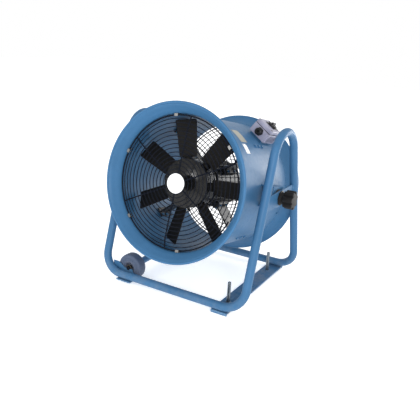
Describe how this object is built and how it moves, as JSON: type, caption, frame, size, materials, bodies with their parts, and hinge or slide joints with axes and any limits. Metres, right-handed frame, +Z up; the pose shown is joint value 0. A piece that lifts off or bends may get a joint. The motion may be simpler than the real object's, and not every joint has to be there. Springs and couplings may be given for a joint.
{
  "type": "portable ventilation fan",
  "caption": "Portable axial ventilator: flared blue duct casing with wire guards and a paddle-blade impeller, tilting in a wheeled bent-tube cradle.",
  "frame": {"origin": "on the floor, halfway between the two tilt knobs, below the tilt line", "axes": "+Z up, +X along the tilt line towards the side with the foot plate, +Y from the inlet to the outlet when the casing is level; stored tilted 11 degrees inlet up"},
  "size_m": [0.74, 0.6292, 0.7293],
  "materials": {
    "casing_blue": "semi-gloss powder coat, light wear at the beads",
    "cradle_blue": "semi-gloss powder coat over welded tube",
    "wire_black": "satin dip-coated steel wire",
    "blade_black": "moulded glass-filled nylon, faint mould texture",
    "hub_black": "painted casting",
    "motor_black": "satin painted cast body",
    "knob_black": "moulded thermoset, fine grain",
    "dial_black": "moulded",
    "zinc": "zinc plated",
    "bar_steel": "machined steel",
    "peg_steel": "drawn bar with dark rounded tip",
    "rubber_black": "moulded rubber",
    "wheel_grey": "worn grey-blue solid tyre",
    "wheel_hub": "moulded grey hub",
    "box_grey": "moulded pale grey enclosure",
    "label_white": "blank white label disc",
    "label_beige": "blank printed foil plate",
    "laminations": "stacked laminations",
    "fibre": "pressed friction fibre"
  },
  "bodies": {
    "frame": {"cross_tubes": "cradle_blue", "corner_bends": "cradle_blue", "near_front_leg": "cradle_blue", "near_rear_leg": "cradle_blue", "far_front_leg": "cradle_blue", "far_rear_leg": "cradle_blue", "near_top_bend": "cradle_blue", "far_top_bend": "cradle_blue", "near_pivot_bar": "cradle_blue", "far_pivot_bar": "cradle_blue", "foot_plate": "cradle_blue", "foot_pads": "rubber_black", "pegs": "peg_steel", "axle_brackets": "cradle_blue", "axle": "wire_black", "axle_sleeve": "cradle_blue", "axle_washers": "fibre"},
    "front_wheel": {"front_wheel_tyre": "wheel_grey", "front_wheel_hub": "wheel_hub"},
    "rear_wheel": {"rear_wheel_tyre": "wheel_grey", "rear_wheel_hub": "wheel_hub"},
    "casing": {"casing_shell": "casing_blue", "near_pivot_bracket": "casing_blue", "far_pivot_bracket": "casing_blue", "friction_discs": "fibre", "pivot_studs": "zinc", "front_guard_rings": "wire_black", "front_guard_spokes": "wire_black", "front_guard_plate": "wire_black", "front_disc_label": "label_white", "rear_guard_rings": "wire_black", "rear_guard_spokes": "wire_black", "rear_guard_plate": "wire_black", "guard_clips": "zinc", "guard_screws": "casing_blue", "motor_body": "motor_black", "motor_shields": "motor_black", "motor_bearings": "bar_steel", "motor_stator": "laminations", "motor_arms": "motor_black", "motor_arm_bolts": "casing_blue", "box_saddle": "casing_blue", "switch_box": "box_grey", "switch_box_lid": "box_grey", "switch_box_seal": "rubber_black", "switch_box_screws": "zinc", "cable_gland": "dial_black", "switch_plate": "dial_black", "switch_spindle": "bar_steel", "data_plate": "label_beige", "small_plate": "label_white"},
    "impeller": {"impeller_hub": "hub_black", "impeller_blades": "blade_black", "impeller_nose": "hub_black", "motor_shaft": "bar_steel", "motor_rotor": "laminations"},
    "near_knob": {"near_knob": "knob_black"},
    "far_knob": {"far_knob": "knob_black"},
    "switch_dial": {"switch_knob": "dial_black"}
  },
  "joints": [
    {"name": "casing_tilt", "type": "hinge", "parent": "frame", "child": "casing", "pos_m": [0, 0, 0.395], "axis": [1, 0, 0], "range_deg": [-24, 46]},
    {"name": "impeller_spin", "type": "hinge", "parent": "casing", "child": "impeller", "pos_m": [0, 0, 0.395], "axis": [0, 0.9816, -0.1908], "continuous": true},
    {"name": "front_wheel_roll", "type": "hinge", "parent": "frame", "child": "front_wheel", "pos_m": [-0.205, -0.205, 0.053], "axis": [0, 1, 0], "continuous": true},
    {"name": "rear_wheel_roll", "type": "hinge", "parent": "frame", "child": "rear_wheel", "pos_m": [-0.205, 0.205, 0.053], "axis": [0, 1, 0], "continuous": true},
    {"name": "near_knob_turn", "type": "hinge", "parent": "casing", "child": "near_knob", "pos_m": [0.357, 0, 0.395], "axis": [1, 0, 0], "range_deg": [0, 180]},
    {"name": "far_knob_turn", "type": "hinge", "parent": "casing", "child": "far_knob", "pos_m": [-0.357, 0, 0.395], "axis": [-1, 0, 0], "range_deg": [0, 180]},
    {"name": "switch_turn", "type": "hinge", "parent": "casing", "child": "switch_dial", "pos_m": [0.18068, 0.17439, 0.62396], "axis": [0.5736, 0.1563, 0.8041], "range_deg": [0, 90]}
  ]
}
